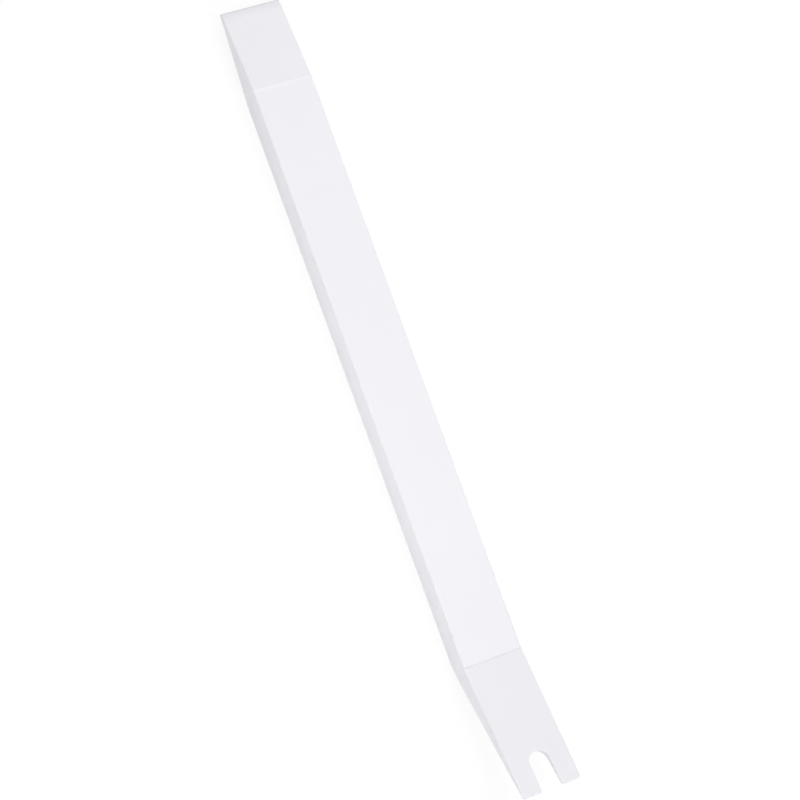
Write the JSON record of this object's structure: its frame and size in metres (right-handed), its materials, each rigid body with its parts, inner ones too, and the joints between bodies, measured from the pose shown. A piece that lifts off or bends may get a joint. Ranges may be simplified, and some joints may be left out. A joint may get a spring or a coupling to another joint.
{
  "type": "trim wedge bar",
  "caption": "Flat plastic prying wedge for vehicle trim: a chisel edge at one end, a bent and tapered fork with a U-shaped slot for clip shanks at the other.",
  "frame": {"origin": "centre of the bounding box at its lowest face, which is the flat back of the bar", "axes": "+X along the bar from the chisel edge to the fork, +Y across its width, +Z from the back face to the front face, the way the fork is bent"},
  "size_m": [0.25, 0.02, 0.0159],
  "materials": {
    "acetal": "white moulded acetal, satin"
  },
  "bodies": {
    "root": {"wedge_bar": "acetal"}
  },
  "joints": []
}
